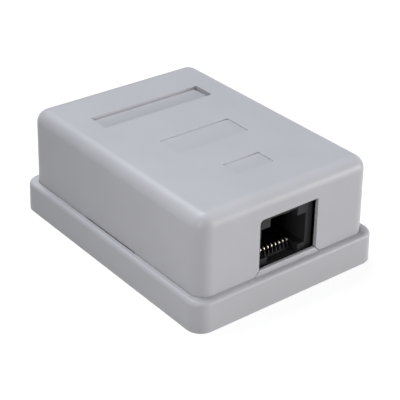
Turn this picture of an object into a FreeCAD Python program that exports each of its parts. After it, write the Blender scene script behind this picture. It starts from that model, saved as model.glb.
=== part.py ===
import FreeCAD, Part
import math
import os

import Sketcher

# Surface mount jack box for one port. Origin at the middle of the underside, +Z up off the wall,
# the port facing -Y, the long sides facing -X and +X. Millimetres and degrees.
SIZES = {
    # base tray
    "tray_side_wall": 1.69,
    "tray_end_wall": 1.59,
    "base_height": 7.0,
    "base_corner": 3.5,
    "base_draft": 1.0,
    "base_rim_round": 0.95,
    "floor_thickness": 2.0,
    "boss_radius": 2.6,
    "post_width": 5.0,
    "boss_height": 2.6,
    "pilot_depth": 3.8,
    "peg_radius": 1.2,
    "peg_clearance": 0.1,
    "peg_stand": 0.7,
    "rib_thickness": 1.2,
    "rib_half_length": 10.0,
    "rib_setback": 5.2,
    # wall fixing slots in the floor
    "slot_spacing": 26.0,
    "slot_width": 4.2,
    "slot_length": 8.0,
    "slot_rear_offset": 16.85,
    # cable tie bridge
    "bridge_width": 5.0,
    "bridge_length": 6.5,
    "bridge_height": 3.3,
    "bridge_bar": 1.4,
    "bridge_foot": 1.1,
    "bridge_setback": 4.0,
    # cover
    "cover_width": 45.1,
    "cover_length": 61.7,
    "cover_top": 24.75,
    "cover_corner": 3.3,
    "cover_top_round": 3.0,
    "cover_draft": 0.75,
    "cover_wall": 2.0,
    "cover_fit": 0.06,
    # port notch, flared at its foot, and the sill that closes it
    "notch_width": 15.4,
    "notch_top": 19.55,
    "notch_round": 0.9,
    "notch_flare": 1.1,
    "sill_height": 1.0,
    "sill_side_gap": 0.2,
    "sill_thickness": 0.8,
    "sill_round": 0.4,
    "port_wall": 1.0,
    # side catches: a bead under the tray's lip, and a slit above it that lets the wall flex
    "catch_length": 18.2,
    "catch_clearance": 1.0,
    "catch_lip": 1.2,
    "slit_rise": 0.15,
    "catch_pocket_depth": 0.5,
    "bead_height": 1.8,
    "bead_land": 0.5,
    "bead_reach": 0.4,
    "bead_play": 0.2,
    # cable hole across the joint of cover and tray
    "cable_hole_radius": 3.1,
    "cable_hole_axis": 8.0,
    # recesses in the top of the cover
    "label_width": 29.0,
    "label_length": 5.85,
    "label_depth": 0.9,
    "label_setback": 12.3,
    "plate_width": 18.4,
    "plate_length": 7.1,
    "plate_depth": 0.25,
    "plate_setback": 29.85,
    "plate_offset": 0.35,
    "small_plate_width": 9.45,
    "small_plate_length": 4.9,
    "small_plate_setback": 45.95,
    # circuit board
    "board_width": 36.0,
    "board_length": 30.6,
    "board_thickness": 1.6,
    "board_setback": 2.45,
    "board_corner": 1.0,
    "board_peg_inset": 2.6,
    # board screws
    "screw_spacing": 26.0,
    "screw_setback": 11.3,
    "screw_radius": 1.1,
    "screw_clearance": 0.15,
    "screw_thread_clearance": 0.05,
    "screw_length": 4.6,
    "screw_head_radius": 2.0,
    "screw_head_height": 1.3,
    "screw_head_bevel": 0.4,
    "screw_cross_width": 0.6,
    "screw_cross_length": 2.2,
    "screw_cross_depth": 0.7,
    # jack housing
    "jack_setback": 1.6,
    "jack_clearance": 1.3,
    "jack_width": 15.5,
    "jack_length": 18.0,
    "jack_height": 13.2,
    "jack_edge": 0.3,
    "cavity_width": 11.9,
    "cavity_height": 6.95,
    "cavity_floor": 3.2,
    "cavity_mouth": 0.3,
    "latch_width": 7.2,
    "latch_height": 1.85,
    "latch_depth": 2.0,
    "latch_channel_width": 3.4,
    "latch_channel_length": 7.4,
    "lip_thickness": 1.65,
    "lip_slot_width": 8.2,
    "lip_slot_depth": 1.5,
    "jack_peg_width": 1.4,
    "jack_peg_length": 2.4,
    "jack_peg_setback": 7.2,
    # jack contact insert
    "insert_clearance": 0.1,
    "insert_tail": 0.2,
    "insert_block": 4.5,
    "insert_floor": 2.2,
    "channel_width": 8.3,
    "channel_end_gap": 0.2,
    "comb_rib": 0.3,
    "comb_rib_length": 10.5,
    "comb_slot_width": 0.65,
    "comb_slot_depth": 1.5,
    "comb_slot_top": 8.4,
    # jack contacts
    "contact_pitch": 1.016,
    "contact_width": 0.36,
    "contact_thickness": 0.35,
    "contact_nose_setback": 2.65,
    "contact_bend_height": 1.25,
    "contact_bend_round": 0.5,
    "contact_tip_setback": 14.4,
    "contact_tip_height": 7.3,
    "tail_row": 13.7,
    "tail_row_spacing": 2.54,
    "tail_reach": 1.0,
    "tail_hole_clearance": 0.15,
    # insulation displacement blocks
    "block_spacing": 17.4,
    "block_width": 16.6,
    "block_length": 7.6,
    "block_height": 11.8,
    "block_gap": 1.2,
    "idc_pitch": 3.9,
    "wire_slot_width": 1.1,
    "wire_slot_depth": 6.5,
    "wire_slot_mouth": 2.3,
    "wire_slot_flare": 1.3,
    # insulation displacement contacts
    "blade_width": 2.8,
    "blade_thickness": 0.5,
    "blade_clearance": 0.05,
    "blade_drop": 1.2,
    "blade_shoulder": 1.6,
    "fork_slot": 0.35,
    "fork_depth": 5.2,
    "fork_mouth": 1.2,
    "fork_flare": 0.7,
    "blade_tail_width": 0.7,
}

CONTACTS = 8
BLADES_PER_BLOCK = 4
SIDES = {"left": -1, "right": 1}

doc = FreeCAD.newDocument("surface_mount_jack_box")
sheet = doc.addObject("Spreadsheet::Sheet", "sizes")
for row, (alias, number) in enumerate(SIZES.items(), start=1):
    sheet.set(f"A{row}", alias)
    sheet.set(f"B{row}", str(number))
    sheet.setAlias(f"B{row}", alias)
doc.recompute()


def size(expression):
    """The value of an expression on the sheet."""
    return float(sheet.evalExpression(expression))


def total(*terms):
    """Sum of expressions, kept as an expression."""
    return "(" + " + ".join(terms) + ")"


def minus(term):
    return f"(-{term})"


def half(term):
    return f"({term} / 2)"


# Features shared by all pieces

def new_body(label):
    body = doc.addObject("PartDesign::Body", label)
    body.Label = label
    return body


def new_sketch(body, role, name, offset):
    sketch = body.newObject("Sketcher::SketchObject", name)
    plane = next(item for item in body.Origin.OriginFeatures if item.Role == role)
    sketch.AttachmentSupport = [(plane, "")]
    sketch.MapMode = "FlatFace"
    sketch.setExpression(".AttachmentOffset.Base.z", offset)
    return sketch


def place_point(sketch, geometry, position, across, along):
    """Hold one point of the sketch at two expressions, measured from the sketch's origin."""
    for kind, expression in (("DistanceX", across), ("DistanceY", along)):
        datum = Sketcher.Constraint(kind, -1, 1, geometry, position, size(expression))
        index = sketch.addConstraint(datum)
        sketch.setExpression(f"Constraints[{index}]", expression)


def draw_polygon(sketch, corners):
    points = [FreeCAD.Vector(size(across), size(along), 0) for across, along in corners]
    count = len(points)
    for index in range(count):
        sketch.addGeometry(Part.LineSegment(points[index], points[(index + 1) % count]), False)
    for index in range(count):
        sketch.addConstraint(Sketcher.Constraint("Coincident", index, 2, (index + 1) % count, 1))
    for index, (across, along) in enumerate(corners):
        place_point(sketch, index, 1, across, along)


def draw_circle(sketch, across, along, radius):
    centre = FreeCAD.Vector(size(across), size(along), 0)
    circle = Part.Circle(centre, FreeCAD.Vector(0, 0, 1), size(radius))
    geometry = sketch.addGeometry(circle, False)
    place_point(sketch, geometry, 3, across, along)
    index = sketch.addConstraint(Sketcher.Constraint("Radius", geometry, size(radius)))
    sketch.setExpression(f"Constraints[{index}]", radius)


def finish(body, feature, before):
    """Recompute and make sure that the feature changed the body's volume."""
    body.Tip = feature
    doc.recompute()
    if abs(body.Shape.Volume - before) < 1e-6:
        raise RuntimeError(f"{body.Label}: {feature.Name} changed nothing")
    return feature


def volume(body):
    return body.Shape.Volume if body.Tip else 0.0


def extrude(body, sketch, name, length, cut=False, upward=False):
    """Pad a sketch along its normal, or pocket it against its normal (with it if upward)."""
    before = volume(body)
    kind = "PartDesign::Pocket" if cut else "PartDesign::Pad"
    feature = body.newObject(kind, name)
    feature.Profile = sketch
    feature.Reversed = upward
    feature.setExpression("Length", length)
    return finish(body, feature, before)


def prism(body, name, role, corners, low, high, cut=False):
    """A polygon carried from low to high along the axis that its plane faces.

    A YZ plane faces +X, an XY plane faces +Z and an XZ plane faces -Y.
    """
    facing_back = role == "XZ_Plane"
    start = high if cut != facing_back else low
    offset = minus(start) if facing_back else start
    sketch = new_sketch(body, role, name + "_sketch", offset)
    draw_polygon(sketch, corners)
    return extrude(body, sketch, name, total(high, minus(low)), cut)


def rectangle(low_across, high_across, low_along, high_along):
    return [
        (low_across, low_along),
        (high_across, low_along),
        (high_across, high_along),
        (low_across, high_along),
    ]


def block(body, name, x, y, z, cut=False):
    """A box between three pairs of expressions, added or cut away."""
    return prism(body, name, "XY_Plane", rectangle(*x, *y), *z, cut=cut)


def rod(body, name, centre, radius, low, high, cut=False):
    """An upright round rod or hole."""
    sketch = new_sketch(body, "XY_Plane", name + "_sketch", high if cut else low)
    draw_circle(sketch, *centre, radius)
    return extrude(body, sketch, name, total(high, minus(low)), cut)


def square_bar(body, name, centre, reach, low, high, cut=False):
    """An upright square post or hole, reaching equally far each way from its centre."""
    x, y = centre
    return block(body, name, (total(x, minus(reach)), total(x, reach)),
                 (total(y, minus(reach)), total(y, reach)), (low, high), cut=cut)


def repeat(body, feature, role, spacing, count):
    """Copy a feature along +X in equal steps."""
    before = volume(body)
    pattern = body.newObject("PartDesign::LinearPattern", feature.Name + "_row")
    axis = next(item for item in body.Origin.OriginFeatures if item.Role == role)
    pattern.Originals = [feature]
    pattern.Direction = (axis, [""])
    pattern.Occurrences = count
    pattern.setExpression("Length", f"{count - 1} * ({spacing})")
    return finish(body, pattern, before)


def pick(items, kind, test):
    names = [f"{kind}{index}" for index, item in enumerate(items, start=1) if test(item)]
    if not names:
        raise RuntimeError(f"no {kind.lower()} was found")
    return names


def round_edges(body, name, radius, test):
    base = body.Tip
    before = volume(body)
    fillet = body.newObject("PartDesign::Fillet", name)
    fillet.Base = (base, pick(base.Shape.Edges, "Edge", test))
    fillet.setExpression("Radius", radius)
    return finish(body, fillet, before)


def bevel_edges(body, name, width, test):
    base = body.Tip
    before = volume(body)
    chamfer = body.newObject("PartDesign::Chamfer", name)
    chamfer.Base = (base, pick(base.Shape.Edges, "Edge", test))
    chamfer.setExpression("Size", width)
    return finish(body, chamfer, before)


def draft_faces(body, name, angle, neutral, test, outward=False):
    """Lean upright faces about the level of the neutral face, inwards going up unless outward."""
    base = body.Tip
    before = volume(body)
    draft = body.newObject("PartDesign::Draft", name)
    draft.Base = (base, pick(base.Shape.Faces, "Face", test))
    draft.NeutralPlane = (base, pick(base.Shape.Faces, "Face", neutral))
    draft.Reversed = outward
    draft.setExpression("Angle", angle)
    return finish(body, draft, before)


def is_wall(face):
    return face.BoundBox.ZLength > 1


def near(value, expression, slack=0.02):
    return abs(value - size(expression)) < slack


def level(expression):
    """Test for an edge or face that lies flat at a height."""
    def test(item):
        box = item.BoundBox
        return near(box.ZMin, expression) and near(box.ZMax, expression)
    return test


def upright(low, high):
    """Test for an edge that climbs from low to high."""
    def test(edge):
        box = edge.BoundBox
        tall = near(box.ZMin, low) and near(box.ZMax, high)
        return tall and max(box.XLength, box.YLength) < size(high) - size(low)
    return test


# Places that several pieces share

floor_top = "sizes.floor_thickness"
rim_top = "sizes.base_height"
front = "(-sizes.cover_length / 2)"
rear = "(sizes.cover_length / 2)"
side = "(sizes.cover_width / 2)"
inner_front = total(front, "sizes.cover_wall")
tray_side = total(side, "sizes.cover_fit")
tray_end = total(rear, "sizes.cover_fit")
base_side = total(tray_side, "sizes.tray_side_wall")
base_end = total(tray_end, "sizes.tray_end_wall")
lip_bottom = total(rim_top, "-sizes.catch_lip")
notch_side = half("sizes.notch_width")
notch_foot = total(notch_side, "sizes.notch_flare")

board_bottom = total(floor_top, "sizes.boss_height")
board_top = total(board_bottom, "sizes.board_thickness")
board_front = total(front, "sizes.board_setback")
board_rear = total(board_front, "sizes.board_length")
peg_x = total(half("sizes.board_width"), "-sizes.board_peg_inset")
peg_y = total(board_rear, "-sizes.board_peg_inset")
screw_x = half("sizes.screw_spacing")
screw_y = total(front, "sizes.screw_setback")

jack_face = total(front, "sizes.jack_setback")
jack_rear = total(jack_face, "sizes.jack_length")
jack_top = total(board_top, "sizes.jack_height")
cavity_bottom = total(board_top, "sizes.cavity_floor")
cavity_top = total(cavity_bottom, "sizes.cavity_height")
cavity_side = half("sizes.cavity_width")
jack_peg_x = half(total(cavity_side, half("sizes.jack_width")))
jack_peg_y = total(jack_face, "sizes.jack_peg_setback")
lip_rear = total(jack_face, "sizes.lip_thickness")
insert_floor = total(board_top, "sizes.insert_floor")
insert_rear = total(jack_rear, "-sizes.insert_tail")
insert_wall = total(insert_rear, "-sizes.insert_block")
tail_bottom = total(board_bottom, "-sizes.tail_reach")
contact_middle = half(f"{CONTACTS - 1} * sizes.contact_pitch")
contact_hole_reach = total(half("sizes.contact_width"), "sizes.tail_hole_clearance")
blade_hole_reach = total(half("sizes.blade_tail_width"), "sizes.tail_hole_clearance")

blocks_front = total(jack_rear, "sizes.block_gap")
blocks_middle = total(blocks_front, half("sizes.block_length"))
block_top = total(board_top, "sizes.block_height")


def contact_x(index):
    """Sideways place of a jack contact, counted from 0 at -X."""
    return f"({index} * sizes.contact_pitch - {contact_middle})"


def contact_tail_y(index):
    """The tails go through the board in two rows, turn and turn about."""
    row = total(jack_face, "sizes.tail_row")
    return row if index % 2 else total(row, "sizes.tail_row_spacing")


def blade_x(sign, index):
    """Sideways place of a forked blade, counted from 0 at -X in its block."""
    step = index - (BLADES_PER_BLOCK - 1) / 2
    return f"({sign} * sizes.block_spacing / 2 + {step} * sizes.idc_pitch)"


# Base tray: floor, ledge wall, catches, bosses, wall slots, tie bridge

def make_base_tray():
    body = new_body("base_tray")
    block(body, "tray_blank", (minus(base_side), base_side), (minus(base_end), base_end),
          ("0", rim_top))
    draft_faces(body, "tray_draft", "sizes.base_draft", level("0"), is_wall)
    round_edges(body, "tray_corners", "sizes.base_corner", upright("0", rim_top))
    block(body, "tray_hollow", (minus(tray_side), tray_side), (minus(tray_end), tray_end),
          (floor_top, rim_top), cut=True)
    round_edges(body, "tray_inner_corners", "sizes.cover_corner", upright(floor_top, rim_top))

    def outer_rim(edge):
        box = edge.BoundBox
        beside = max(box.XMax, -box.XMin) > size(tray_side) + 0.1
        beyond = max(box.YMax, -box.YMin) > size(tray_end) + 0.1
        return level(rim_top)(edge) and (beside or beyond)
    round_edges(body, "tray_rim", "sizes.base_rim_round", outer_rim)

    # a pocket for each bead, under a lip
    half_catch = half("sizes.catch_length")
    for name, sign in SIDES.items():
        wall = f"({sign} * {tray_side})"
        edge = f"({sign} * ({tray_side} + sizes.catch_pocket_depth))"
        x_range = (edge, wall) if sign < 0 else (wall, edge)
        block(body, f"catch_pocket_{name}", x_range, (minus(half_catch), half_catch),
              (floor_top, lip_bottom), cut=True)

    # the sill stands in the port notch, level with the cover's face; its ends lean with the flare
    sill_foot = total(notch_foot, "-sizes.sill_side_gap")
    sill_end = total(sill_foot, "-sizes.sill_height")
    sill_top = total(rim_top, "sizes.sill_height")
    profile = [
        (minus(sill_foot), floor_top),
        (sill_foot, floor_top),
        (sill_foot, rim_top),
        (sill_end, sill_top),
        (minus(sill_end), sill_top),
        (minus(sill_foot), rim_top),
    ]
    prism(body, "sill", "XZ_Plane", profile, front, total(front, "sizes.sill_thickness"))

    def sill_edge(edge):
        box = edge.BoundBox
        return level(sill_top)(edge) and near(box.YMin, front) and near(box.YMax, front)
    round_edges(body, "sill_front", "sizes.sill_round", sill_edge)

    # half of the round cable hole
    cable_hole(body)

    # bosses take the board screws at the front, pegged posts carry the rear corners
    for name, sign in SIDES.items():
        boss = (f"({sign} * {screw_x})", screw_y)
        post = (f"({sign} * {peg_x})", peg_y)
        rod(body, f"boss_{name}", boss, "sizes.boss_radius", floor_top, board_bottom)
        rod(body, f"pilot_{name}", boss, total("sizes.screw_radius", "sizes.screw_thread_clearance"),
            total(board_bottom, "-sizes.pilot_depth"), board_bottom, cut=True)
        square_bar(body, f"post_{name}", post, half("sizes.post_width"), floor_top, board_bottom)
        rod(body, f"peg_{name}", post, "sizes.peg_radius", board_bottom,
            total(board_top, "sizes.peg_stand"))
    rib_front = total(jack_face, "sizes.rib_setback", half("-sizes.rib_thickness"))
    block(body, "jack_rib", ("(-sizes.rib_half_length)", "sizes.rib_half_length"),
          (rib_front, total(rib_front, "sizes.rib_thickness")), (floor_top, board_bottom))

    for name, sign in SIDES.items():
        wall_slot(body, name, sign)

    # bridge that a cable tie passes under
    bridge_x = half("sizes.bridge_width")
    bridge_rear = total(rear, "-sizes.cover_wall", "-sizes.bridge_setback")
    bridge_front = total(bridge_rear, "-sizes.bridge_length")
    bridge_top = total(floor_top, "sizes.bridge_height")
    block(body, "tie_bridge", (minus(bridge_x), bridge_x), (bridge_front, bridge_rear),
          (floor_top, bridge_top))
    block(body, "tie_tunnel", (minus(bridge_x), bridge_x),
          (total(bridge_front, "sizes.bridge_foot"), total(bridge_rear, "-sizes.bridge_foot")),
          (floor_top, total(bridge_top, "-sizes.bridge_bar")), cut=True)
    return body


def wall_slot(body, name, sign):
    """A slot along X for a wall screw."""
    centre_x = f"({sign} * sizes.slot_spacing / 2)"
    centre_y = total(rear, "-sizes.slot_rear_offset")
    reach = half("(sizes.slot_length - sizes.slot_width)")
    sketch = new_sketch(body, "XY_Plane", f"slot_{name}_sketch", floor_top)
    draw_obround(sketch, centre_x, centre_y, reach, half("sizes.slot_width"))
    extrude(body, sketch, f"slot_{name}", floor_top, cut=True)


def draw_obround(sketch, centre_x, centre_y, reach, radius):
    """Two half circles, a reach either side of the centre along X, joined by straight sides."""
    x, y, r = size(centre_x), size(centre_y), size(radius)
    along = size(reach)
    up = FreeCAD.Vector(0, 0, 1)
    ends = []
    for sign, start in ((1, -math.pi / 2), (-1, math.pi / 2)):
        circle = Part.Circle(FreeCAD.Vector(x + sign * along, y, 0), up, r)
        ends.append(sketch.addGeometry(Part.ArcOfCircle(circle, start, start + math.pi), False))
    right, left = ends
    lines = []
    for sign in (1, -1):
        begin = FreeCAD.Vector(x + sign * along, y + sign * r, 0)
        stop = FreeCAD.Vector(x - sign * along, y + sign * r, 0)
        lines.append(sketch.addGeometry(Part.LineSegment(begin, stop), False))
    top, bottom = lines
    for first, first_end, second, second_end in (
        (right, 2, top, 1), (top, 2, left, 1), (left, 2, bottom, 1), (bottom, 2, right, 1),
    ):
        sketch.addConstraint(Sketcher.Constraint("Tangent", first, first_end, second, second_end))
    sketch.addConstraint(Sketcher.Constraint("Equal", right, left))
    index = sketch.addConstraint(Sketcher.Constraint("Radius", right, r))
    sketch.setExpression(f"Constraints[{index}]", radius)
    place_point(sketch, right, 3, total(centre_x, reach), centre_y)
    index = sketch.addConstraint(
        Sketcher.Constraint("DistanceX", -1, 1, left, 3, x - along))
    sketch.setExpression(f"Constraints[{index}]", total(centre_x, minus(reach)))


def cable_hole(body):
    """The round cable hole, cut through everything at the rear wall."""
    inner = total(rear, "-2 * sizes.cover_wall")
    sketch = new_sketch(body, "XZ_Plane", "cable_hole_sketch", minus(inner))
    draw_circle(sketch, "0", "sizes.cable_hole_axis", "sizes.cable_hole_radius")
    extrude(body, sketch, "cable_hole", total(base_end, minus(inner)), cut=True)


# Cover: drafted lid with notch, cable hole, catch beads and recesses

def make_cover():
    body = new_body("cover")
    top = "sizes.cover_top"
    wall = "sizes.cover_wall"
    block(body, "cover_blank", (minus(side), side), (front, rear), (floor_top, top))
    draft_faces(body, "cover_draft", "sizes.cover_draft", level(floor_top), is_wall)
    round_edges(body, "cover_corners", "sizes.cover_corner", upright(floor_top, top))
    round_edges(body, "cover_rim", "sizes.cover_top_round", level(top))

    inner_x, inner_y = total(side, minus(wall)), total(rear, minus(wall))
    ceiling = total(top, minus(wall))
    sketch = new_sketch(body, "XY_Plane", "cover_hollow_sketch", floor_top)
    draw_polygon(sketch, rectangle(minus(inner_x), inner_x, minus(inner_y), inner_y))
    extrude(body, sketch, "cover_hollow", total(ceiling, minus(floor_top)), cut=True, upward=True)
    draft_faces(body, "hollow_draft", "sizes.cover_draft", level(floor_top),
                lambda face: is_wall(face) and near(face.BoundBox.ZMax, ceiling))
    round_edges(body, "hollow_corners", total("sizes.cover_corner", minus(wall)),
                upright(floor_top, ceiling))

    # port notch, open and flared at the foot; its -X upper corner is rounded
    flare_top = total(rim_top, "sizes.notch_flare")
    profile = [
        (minus(notch_foot), floor_top),
        (notch_foot, floor_top),
        (notch_foot, rim_top),
        (notch_side, flare_top),
        (notch_side, "sizes.notch_top"),
        (minus(notch_side), "sizes.notch_top"),
        (minus(notch_side), flare_top),
        (minus(notch_foot), rim_top),
    ]
    prism(body, "notch", "XZ_Plane", profile, front, total(inner_front, wall), cut=True)

    def notch_corner(edge):
        box = edge.BoundBox
        return level("sizes.notch_top")(edge) and near(box.XMax, minus(notch_side)) \
            and box.YLength > 1
    round_edges(body, "notch_corner", "sizes.notch_round", notch_corner)

    # the front wall is thinner where the jack stands in it
    pocket_side = total(half("sizes.jack_width"), "sizes.jack_clearance")
    block(body, "jack_pocket", (minus(pocket_side), pocket_side),
          (total(front, "sizes.port_wall"), total(inner_front, "sizes.jack_clearance")),
          (floor_top, total(jack_top, "sizes.jack_clearance")), cut=True)

    # cable hole, open at the foot
    radius = "sizes.cable_hole_radius"
    cable_hole(body)
    block(body, "cable_way", (minus(radius), radius), (total(rear, "-2 * sizes.cover_wall"), rear),
          (floor_top, "sizes.cable_hole_axis"), cut=True)

    # beads that snap under the lips of the tray, each with a slit above it
    bead_top = total(lip_bottom, "-sizes.bead_play")
    bead_bottom = total(bead_top, "-sizes.bead_height")
    half_catch = half("sizes.catch_length")
    half_bead = total(half_catch, "-sizes.catch_clearance")
    for name, sign in SIDES.items():
        inside = f"({sign} * ({inner_x} - {wall} / 2))"
        root = f"({sign} * ({side} - {wall} / 2))"
        face = f"({sign} * {side})"
        tip = f"({sign} * ({side} + sizes.bead_reach))"
        profile = [
            (root, bead_bottom),
            (face, bead_bottom),
            (tip, total(bead_top, "-sizes.bead_land")),
            (tip, bead_top),
            (root, bead_top),
        ]
        prism(body, f"bead_{name}", "XZ_Plane", profile, minus(half_bead), half_bead)
        x_range = (face, inside) if sign < 0 else (inside, face)
        block(body, f"slit_{name}", x_range, (minus(half_catch), half_catch),
              (lip_bottom, total(rim_top, "sizes.slit_rise")), cut=True)

    # label recess and the two shallow plates
    for name, middle, width, length, depth, setback in (
        ("label", "0", "sizes.label_width", "sizes.label_length", "sizes.label_depth",
         "sizes.label_setback"),
        ("plate", "sizes.plate_offset", "sizes.plate_width", "sizes.plate_length",
         "sizes.plate_depth", "sizes.plate_setback"),
        ("small_plate", "0", "sizes.small_plate_width", "sizes.small_plate_length",
         "sizes.plate_depth", "sizes.small_plate_setback"),
    ):
        far = total(rear, minus(setback))
        block(body, name, (total(middle, minus(half(width))), total(middle, half(width))),
              (total(far, minus(length)), far), (total(top, minus(depth)), top), cut=True)
    return body


# Circuit board with its screw, peg and solder holes

def make_circuit_board():
    body = new_body("circuit_board")
    x = half("sizes.board_width")
    block(body, "board_blank", (minus(x), x), (board_front, board_rear), (board_bottom, board_top))
    bevel_edges(body, "board_corners", "sizes.board_corner",
                lambda edge: near(edge.BoundBox.ZLength, "sizes.board_thickness"))
    for name, sign in SIDES.items():
        for kind, centre, radius in (
            ("screw", (f"({sign} * {screw_x})", screw_y),
             total("sizes.screw_radius", "sizes.screw_clearance")),
            ("peg", (f"({sign} * {peg_x})", peg_y),
             total("sizes.peg_radius", "sizes.peg_clearance")),
        ):
            rod(body, f"{kind}_hole_{name}", centre, radius, board_bottom, board_top, cut=True)
        square_bar(body, f"jack_peg_hole_{name}", (f"({sign} * {jack_peg_x})", jack_peg_y),
                   total(half("sizes.jack_peg_width"), "sizes.peg_clearance"),
                   board_bottom, board_top, cut=True)
        hole = square_bar(body, f"blade_hole_{name}", (blade_x(sign, 0), blocks_middle),
                          blade_hole_reach, board_bottom, board_top, cut=True)
        repeat(body, hole, "X_Axis", "sizes.idc_pitch", BLADES_PER_BLOCK)
    for index in (0, 1):
        hole = square_bar(body, f"contact_hole_{index}",
                          (contact_x(index), contact_tail_y(index)), contact_hole_reach,
                          board_bottom, board_top, cut=True)
        repeat(body, hole, "X_Axis", "2 * sizes.contact_pitch", CONTACTS // 2)
    return body


# Jack: housing, contact insert and eight sprung contacts

def make_jack_housing():
    body = new_body("jack_housing")
    jack_side = half("sizes.jack_width")
    block(body, "jack_body", (minus(jack_side), jack_side), (jack_face, jack_rear),
          (board_top, jack_top))
    bevel_edges(body, "jack_edges", "sizes.jack_edge",
                lambda edge: level(jack_top)(edge) and near(edge.BoundBox.XLength, "0"))

    # the plug's cavity runs through, and behind the lip it is open to the board
    block(body, "plug_cavity", (minus(cavity_side), cavity_side), (jack_face, jack_rear),
          (cavity_bottom, cavity_top), cut=True)
    block(body, "insert_way", (minus(cavity_side), cavity_side), (lip_rear, jack_rear),
          (board_top, cavity_bottom), cut=True)
    lip_side = half("sizes.lip_slot_width")
    block(body, "lip_slot", (minus(lip_side), lip_side), (jack_face, lip_rear),
          (total(cavity_bottom, "-sizes.lip_slot_depth"), cavity_bottom), cut=True)

    # the latch drops in a wide mouth and runs on in a narrow channel
    latch_top = total(cavity_top, "sizes.latch_height")
    for kind, width, length in (
        ("mouth", "sizes.latch_width", "sizes.latch_depth"),
        ("channel", "sizes.latch_channel_width", "sizes.latch_channel_length"),
    ):
        block(body, f"latch_{kind}", (minus(half(width)), half(width)),
              (jack_face, total(jack_face, length)), (cavity_top, latch_top), cut=True)

    def mouth_edge(edge):
        box = edge.BoundBox
        flat = near(box.YMin, jack_face) and near(box.YMax, jack_face)
        beside = near(abs(box.XMin), cavity_side) and near(box.XLength, "0")
        return flat and beside and near(box.ZLength, "sizes.cavity_height")
    bevel_edges(body, "plug_mouth", "sizes.cavity_mouth", mouth_edge)

    for name, sign in SIDES.items():
        square_bar(body, f"jack_peg_{name}", (f"({sign} * {jack_peg_x})", jack_peg_y),
                   half("sizes.jack_peg_width"), total(board_top, "-sizes.jack_peg_length"),
                   board_top)
    return body


def make_jack_contact_insert():
    body = new_body("jack_contact_insert")
    gap = "sizes.insert_clearance"
    insert_side = total(cavity_side, minus(gap))
    insert_front = total(lip_rear, gap)
    insert_bottom = total(board_top, gap)
    insert_deck = total(cavity_bottom, minus(gap))
    block(body, "insert_base", (minus(insert_side), insert_side), (insert_front, insert_rear),
          (insert_bottom, insert_deck))
    channel_side = half("sizes.channel_width")
    channel_end = total(contact_tail_y(0), half("sizes.contact_thickness"),
                        "sizes.channel_end_gap")
    block(body, "channel", (minus(channel_side), channel_side), (insert_front, channel_end),
          (insert_floor, insert_deck), cut=True)
    block(body, "insert_wall", (minus(insert_side), insert_side), (insert_wall, insert_rear),
          (insert_deck, total(cavity_top, minus(gap))))

    rib_x = total(contact_x(0), half("sizes.contact_pitch"))
    rib_half = half("sizes.comb_rib")
    rib_front = total(insert_front, gap)
    rib = block(body, "comb_rib", (total(rib_x, minus(rib_half)), total(rib_x, rib_half)),
                (rib_front, total(rib_front, "sizes.comb_rib_length")),
                (insert_floor, insert_deck))
    repeat(body, rib, "X_Axis", "sizes.contact_pitch", CONTACTS - 1)

    slot_half = half("sizes.comb_slot_width")
    slot = block(body, "comb_slot", (total(contact_x(0), minus(slot_half)),
                                     total(contact_x(0), slot_half)),
                 (insert_wall, total(insert_wall, "sizes.comb_slot_depth")),
                 (insert_deck, total(board_top, "sizes.comb_slot_top")), cut=True)
    repeat(body, slot, "X_Axis", "sizes.contact_pitch", CONTACTS)

    for index in (0, 1):
        hole = square_bar(body, f"tail_way_{index}", (contact_x(index), contact_tail_y(index)),
                          contact_hole_reach, insert_bottom, insert_floor, cut=True)
        repeat(body, hole, "X_Axis", "2 * sizes.contact_pitch", CONTACTS // 2)
    return body


def make_jack_contact(index):
    """A flat wire: tail up through the board, forward along the insert, round and back to the comb."""
    body = new_body(f"jack_contact_{index + 1}")
    thick = "sizes.contact_thickness"
    x = contact_x(index)
    tail = contact_tail_y(index)
    run_top = total(insert_floor, thick)
    nose = total(jack_face, "sizes.contact_nose_setback")
    bend_top = total(insert_floor, "sizes.contact_bend_height")
    tip_y = total(jack_face, "sizes.contact_tip_setback")
    tip_z = total(board_top, "sizes.contact_tip_height")
    rise = f"(({tip_z} - {bend_top}) / ({tip_y} - {nose}))"
    profile = [
        (total(tail, half(thick)), tail_bottom),
        (total(tail, half(thick)), run_top),
        (total(nose, thick), run_top),
        (total(nose, thick), f"({bend_top} - {thick} + {thick} * {rise})"),
        (tip_y, total(tip_z, minus(thick))),
        (tip_y, tip_z),
        (nose, bend_top),
        (nose, insert_floor),
        (total(tail, half(minus(thick))), insert_floor),
        (total(tail, half(minus(thick))), tail_bottom),
    ]
    wire_half = half("sizes.contact_width")
    prism(body, f"wire_{index + 1}", "YZ_Plane", profile, total(x, minus(wire_half)),
          total(x, wire_half))

    def outer_bend(edge):
        box = edge.BoundBox
        at_nose = near(box.YMin, nose) and near(box.YMax, nose)
        return at_nose and near(box.XLength, "sizes.contact_width")
    round_edges(body, f"bend_{index + 1}", "sizes.contact_bend_round", outer_bend)
    return body


# Insulation displacement blocks and their forked blades

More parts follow.
